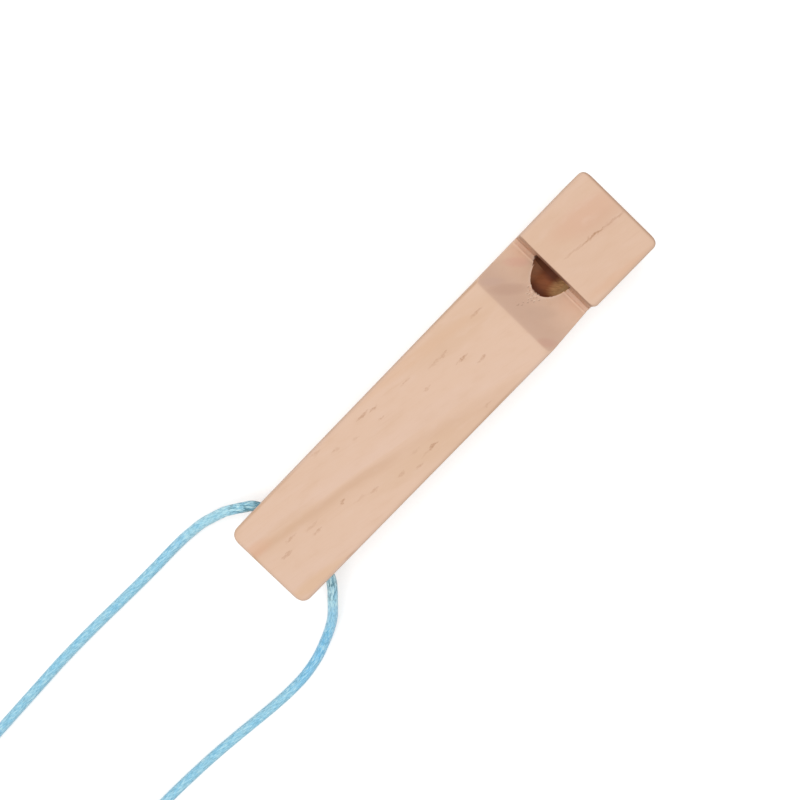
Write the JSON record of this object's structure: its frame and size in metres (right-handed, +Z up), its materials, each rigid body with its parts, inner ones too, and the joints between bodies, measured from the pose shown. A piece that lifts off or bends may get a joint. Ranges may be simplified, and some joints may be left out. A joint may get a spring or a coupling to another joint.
{
  "type": "bird whistle",
  "caption": "Square-section wooden bird whistle with a notched window, a fipple plug in its mouth end and a satin neck cord tied through its tail.",
  "frame": {"origin": "middle of the wooden body's resting face", "axes": "+X along the body to the mouth end, +Y to the left strand's side, +Z up through the window"},
  "size_m": [0.2227, 0.0422, 0.018],
  "materials": {
    "pine": "bare sanded pale pine, grain along the body",
    "dowel": "bare hardwood dowel",
    "satin_cord": "light blue satin braid with a soft sheen",
    "tape": "undyed cotton tape"
  },
  "bodies": {
    "root": {"whistle_body": "pine", "fipple_plug": "dowel", "cord_left": "satin_cord", "cord_right": "satin_cord", "cord_coil": "satin_cord", "cord_tail": "satin_cord", "cord_knot": "satin_cord", "coil_tie": "tape"}
  },
  "joints": []
}
